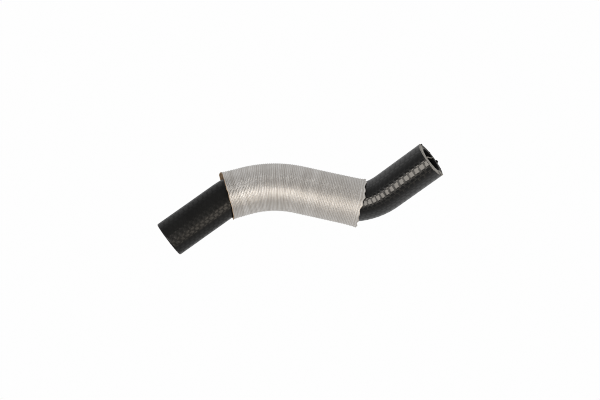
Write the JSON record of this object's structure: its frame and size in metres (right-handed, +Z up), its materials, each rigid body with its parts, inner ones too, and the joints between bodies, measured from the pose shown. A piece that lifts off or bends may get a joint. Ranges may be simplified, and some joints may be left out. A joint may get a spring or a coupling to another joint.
{
  "type": "charge air hose",
  "caption": "Moulded rubber hose bent into a lazy Z with plain cut ends and a ribbed foil and paper heat shield sleeve over its middle.",
  "frame": {"origin": "middle of the bounding box in plan, at the floor that the sleeve lies on", "axes": "+X along the left leg in plan, from the left end to the raised right end; +Y across, towards the left leg's side; +Z up off the floor"},
  "size_m": [0.196, 0.0968, 0.051],
  "materials": {
    "rubber_hose": "semi-gloss black rubber with the marks of a knitted cover",
    "heat_shield_sleeve": "dull ribbed foil, brown kraft paper inside"
  },
  "bodies": {
    "root": {"rubber_hose": "rubber_hose", "heat_shield_sleeve": "heat_shield_sleeve"}
  },
  "joints": []
}
